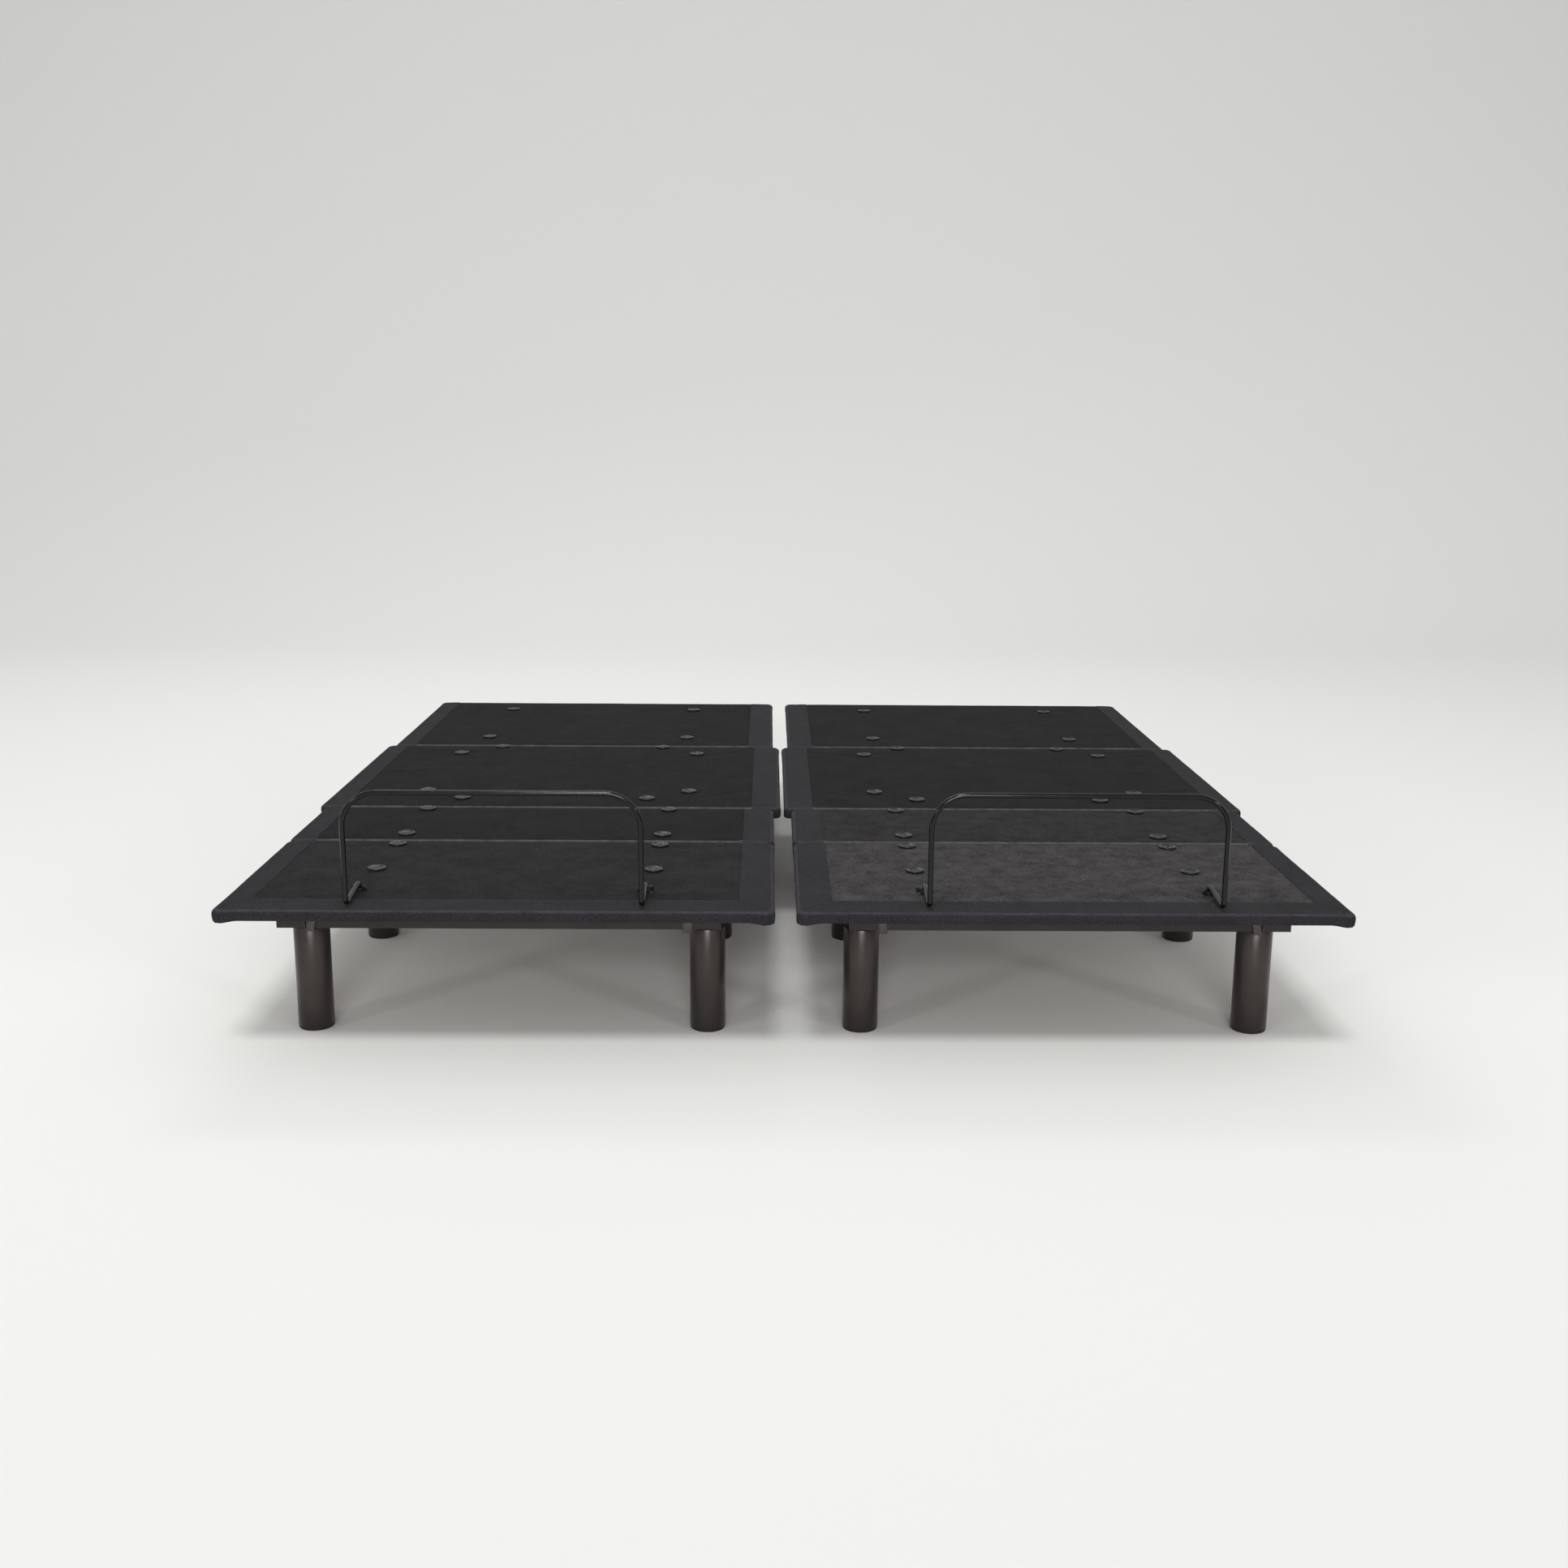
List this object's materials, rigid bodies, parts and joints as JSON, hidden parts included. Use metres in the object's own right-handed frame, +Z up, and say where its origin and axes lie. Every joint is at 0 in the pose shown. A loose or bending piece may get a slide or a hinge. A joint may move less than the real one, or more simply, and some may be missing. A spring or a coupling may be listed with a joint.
{
  "type": "adjustable bed base",
  "caption": "Pair of motorised adjustable bed bases side by side, fabric-covered panels on a steel frame with round legs and mattress retainer bars.",
  "frame": {"origin": "on the floor under the middle of the pair of bases", "axes": "+X across the bed, +Y from the foot end to the head end, +Z up"},
  "size_m": [1.938, 2.02, 0.4695],
  "materials": {
    "cover_fabric": "woven charcoal upholstery with a felt centre",
    "plywood": "plain plywood",
    "cap_plastic": "dark grey moulded plastic",
    "retainer_black": "gloss black",
    "roller_nylon": "natural nylon",
    "drive_plastic": "fine textured black",
    "bright_steel": "ground steel",
    "grey_steel": "dull grey steel",
    "black_plastic": "black",
    "pad_rubber": "black rubber",
    "leg_paint": "satin bronze black",
    "frame_paint": "satin black"
  },
  "bodies": {
    "base": {"perimeter_rails": "frame_paint", "rail_end_caps": "black_plastic", "cross_beams": "frame_paint", "pivot_brackets": "frame_paint", "pivot_pins": "bright_steel", "legs": "leg_paint", "leg_glides": "black_plastic", "rest_pads": "pad_rubber", "foot_straps": "grey_steel", "control_boxes": "drive_plastic", "power_inlets": "black_plastic", "seat_boards": "plywood", "seat_covers": "cover_fabric", "seat_bolt_caps": "cap_plastic"},
    "left_head_deck": {"left_head_board": "plywood", "left_head_cover": "cover_fabric", "left_head_bolt_caps": "cap_plastic", "left_head_frame": "frame_paint"},
    "left_thigh_deck": {"left_thigh_board": "plywood", "left_thigh_cover": "cover_fabric", "left_thigh_bolt_caps": "cap_plastic", "left_thigh_frame": "frame_paint"},
    "left_foot_deck": {"left_foot_board": "plywood", "left_foot_cover": "cover_fabric", "left_foot_bolt_caps": "cap_plastic", "left_foot_frame": "frame_paint", "left_retainer_bar": "retainer_black", "left_wing_nuts": "retainer_black"},
    "left_head_lift": {"left_head_lift_arm": "frame_paint"},
    "left_head_rollers": {"left_head_lift_rollers": "roller_nylon"},
    "left_leg_lift": {"left_leg_lift_arm": "frame_paint"},
    "left_leg_rollers": {"left_leg_lift_rollers": "roller_nylon"},
    "left_foot_link": {"left_foot_links": "frame_paint"},
    "left_head_drive": {"left_head_actuator": "drive_plastic"},
    "left_head_push_rod": {"left_head_actuator_rod": "bright_steel"},
    "left_leg_drive": {"left_leg_actuator": "drive_plastic"},
    "left_leg_push_rod": {"left_leg_actuator_rod": "bright_steel"},
    "right_head_deck": {"right_head_board": "plywood", "right_head_cover": "cover_fabric", "right_head_bolt_caps": "cap_plastic", "right_head_frame": "frame_paint"},
    "right_thigh_deck": {"right_thigh_board": "plywood", "right_thigh_cover": "cover_fabric", "right_thigh_bolt_caps": "cap_plastic", "right_thigh_frame": "frame_paint"},
    "right_foot_deck": {"right_foot_board": "plywood", "right_foot_cover": "cover_fabric", "right_foot_bolt_caps": "cap_plastic", "right_foot_frame": "frame_paint", "right_retainer_bar": "retainer_black", "right_wing_nuts": "retainer_black"},
    "right_head_lift": {"right_head_lift_arm": "frame_paint"},
    "right_head_rollers": {"right_head_lift_rollers": "roller_nylon"},
    "right_leg_lift": {"right_leg_lift_arm": "frame_paint"},
    "right_leg_rollers": {"right_leg_lift_rollers": "roller_nylon"},
    "right_foot_link": {"right_foot_links": "frame_paint"},
    "right_head_drive": {"right_head_actuator": "drive_plastic"},
    "right_head_push_rod": {"right_head_actuator_rod": "bright_steel"},
    "right_leg_drive": {"right_leg_actuator": "drive_plastic"},
    "right_leg_push_rod": {"right_leg_actuator_rod": "bright_steel"}
  },
  "joints": [
    {"name": "left_head_lift_hinge", "type": "hinge", "parent": "base", "child": "left_head_deck", "pos_m": [-0.4865, 0.389, 0.257], "axis": [1, 0, 0], "range_deg": [0, 60]},
    {"name": "left_leg_lift_hinge", "type": "hinge", "parent": "base", "child": "left_thigh_deck", "pos_m": [-0.4865, -0.267, 0.257], "axis": [-1, 0, 0], "range_deg": [0, 35]},
    {"name": "left_knee_hinge", "type": "hinge", "parent": "left_thigh_deck", "child": "left_foot_deck", "pos_m": [-0.4865, -0.546, 0.2353], "axis": [1, 0, 0], "range_deg": [0, 45.5]},
    {"name": "left_foot_link_hinge", "type": "hinge", "parent": "base", "child": "left_foot_link", "pos_m": [-0.4865, -0.785, 0.2353], "axis": [-1, 0, 0], "range_deg": [0, 49.06]},
    {"name": "left_head_arm_hinge", "type": "hinge", "parent": "base", "child": "left_head_lift", "pos_m": [-0.4865, 0.32, 0.2044], "axis": [1, 0, 0], "range_deg": [0, 42.69]},
    {"name": "left_leg_arm_hinge", "type": "hinge", "parent": "base", "child": "left_leg_lift", "pos_m": [-0.4865, -0.155, 0.2044], "axis": [-1, 0, 0], "range_deg": [0, 17.28]},
    {"name": "left_head_roller_spin", "type": "hinge", "parent": "left_head_lift", "child": "left_head_rollers", "pos_m": [-0.4865, 0.609, 0.2044], "axis": [1, 0, 0], "range_deg": [-59.54, 0]},
    {"name": "left_leg_roller_spin", "type": "hinge", "parent": "left_leg_lift", "child": "left_leg_rollers", "pos_m": [-0.4865, -0.397, 0.2044], "axis": [-1, 0, 0], "range_deg": [-50.42, 0]},
    {"name": "left_head_drive_pivot", "type": "hinge", "parent": "base", "child": "left_head_drive", "pos_m": [-0.4865, -0.0815, 0.1374], "axis": [1, 0, 0], "range_deg": [-1.13, 0]},
    {"name": "left_leg_drive_pivot", "type": "hinge", "parent": "base", "child": "left_leg_drive", "pos_m": [-0.4865, 0.2465, 0.1324], "axis": [1, 0, 0], "range_deg": [0, 0.39]},
    {"name": "left_head_rod_slide", "type": "slide", "parent": "left_head_drive", "child": "left_head_push_rod", "axis": [0, 1, 0], "range_m": [0, 0.05382]},
    {"name": "left_leg_rod_slide", "type": "slide", "parent": "left_leg_drive", "child": "left_leg_push_rod", "axis": [0, -1, 0], "range_m": [0, 0.02214]},
    {"name": "right_head_lift_hinge", "type": "hinge", "parent": "base", "child": "right_head_deck", "pos_m": [0.4865, 0.389, 0.257], "axis": [1, 0, 0], "range_deg": [0, 60]},
    {"name": "right_leg_lift_hinge", "type": "hinge", "parent": "base", "child": "right_thigh_deck", "pos_m": [0.4865, -0.267, 0.257], "axis": [-1, 0, 0], "range_deg": [0, 35]},
    {"name": "right_knee_hinge", "type": "hinge", "parent": "right_thigh_deck", "child": "right_foot_deck", "pos_m": [0.4865, -0.546, 0.2353], "axis": [1, 0, 0], "range_deg": [0, 45.5]},
    {"name": "right_foot_link_hinge", "type": "hinge", "parent": "base", "child": "right_foot_link", "pos_m": [0.4865, -0.785, 0.2353], "axis": [-1, 0, 0], "range_deg": [0, 49.06]},
    {"name": "right_head_arm_hinge", "type": "hinge", "parent": "base", "child": "right_head_lift", "pos_m": [0.4865, 0.32, 0.2044], "axis": [1, 0, 0], "range_deg": [0, 42.69]},
    {"name": "right_leg_arm_hinge", "type": "hinge", "parent": "base", "child": "right_leg_lift", "pos_m": [0.4865, -0.155, 0.2044], "axis": [-1, 0, 0], "range_deg": [0, 17.28]},
    {"name": "right_head_roller_spin", "type": "hinge", "parent": "right_head_lift", "child": "right_head_rollers", "pos_m": [0.4865, 0.609, 0.2044], "axis": [1, 0, 0], "range_deg": [-59.54, 0]},
    {"name": "right_leg_roller_spin", "type": "hinge", "parent": "right_leg_lift", "child": "right_leg_rollers", "pos_m": [0.4865, -0.397, 0.2044], "axis": [-1, 0, 0], "range_deg": [-50.42, 0]},
    {"name": "right_head_drive_pivot", "type": "hinge", "parent": "base", "child": "right_head_drive", "pos_m": [0.4865, -0.0815, 0.1374], "axis": [1, 0, 0], "range_deg": [-1.13, 0]},
    {"name": "right_leg_drive_pivot", "type": "hinge", "parent": "base", "child": "right_leg_drive", "pos_m": [0.4865, 0.2465, 0.1324], "axis": [1, 0, 0], "range_deg": [0, 0.39]},
    {"name": "right_head_rod_slide", "type": "slide", "parent": "right_head_drive", "child": "right_head_push_rod", "axis": [0, 1, 0], "range_m": [0, 0.05382]},
    {"name": "right_leg_rod_slide", "type": "slide", "parent": "right_leg_drive", "child": "right_leg_push_rod", "axis": [0, -1, 0], "range_m": [0, 0.02214]}
  ],
  "couplings": [
    {"joint": "left_knee_hinge", "follows": "left_leg_lift_hinge", "ratio": 1.3},
    {"joint": "left_foot_link_hinge", "follows": "left_leg_lift_hinge", "ratio": 1.4015},
    {"joint": "left_head_arm_hinge", "follows": "left_head_lift_hinge", "ratio": 0.7115},
    {"joint": "left_leg_arm_hinge", "follows": "left_leg_lift_hinge", "ratio": 0.4935},
    {"joint": "left_head_roller_spin", "follows": "left_head_lift_hinge", "ratio": -0.9923},
    {"joint": "left_leg_roller_spin", "follows": "left_leg_lift_hinge", "ratio": -1.4403},
    {"joint": "left_head_drive_pivot", "follows": "left_head_lift_hinge", "ratio": -0.018755},
    {"joint": "left_leg_drive_pivot", "follows": "left_leg_lift_hinge", "ratio": 0.010884},
    {"joint": "left_head_rod_slide", "follows": "left_head_lift_hinge", "m_per_rad": 0.051393},
    {"joint": "left_leg_rod_slide", "follows": "left_leg_lift_hinge", "m_per_rad": 0.036235},
    {"joint": "right_knee_hinge", "follows": "right_leg_lift_hinge", "ratio": 1.3},
    {"joint": "right_foot_link_hinge", "follows": "right_leg_lift_hinge", "ratio": 1.4015},
    {"joint": "right_head_arm_hinge", "follows": "right_head_lift_hinge", "ratio": 0.7115},
    {"joint": "right_leg_arm_hinge", "follows": "right_leg_lift_hinge", "ratio": 0.4935},
    {"joint": "right_head_roller_spin", "follows": "right_head_lift_hinge", "ratio": -0.9923},
    {"joint": "right_leg_roller_spin", "follows": "right_leg_lift_hinge", "ratio": -1.4403},
    {"joint": "right_head_drive_pivot", "follows": "right_head_lift_hinge", "ratio": -0.018755},
    {"joint": "right_leg_drive_pivot", "follows": "right_leg_lift_hinge", "ratio": 0.010884},
    {"joint": "right_head_rod_slide", "follows": "right_head_lift_hinge", "m_per_rad": 0.051393},
    {"joint": "right_leg_rod_slide", "follows": "right_leg_lift_hinge", "m_per_rad": 0.036235}
  ]
}
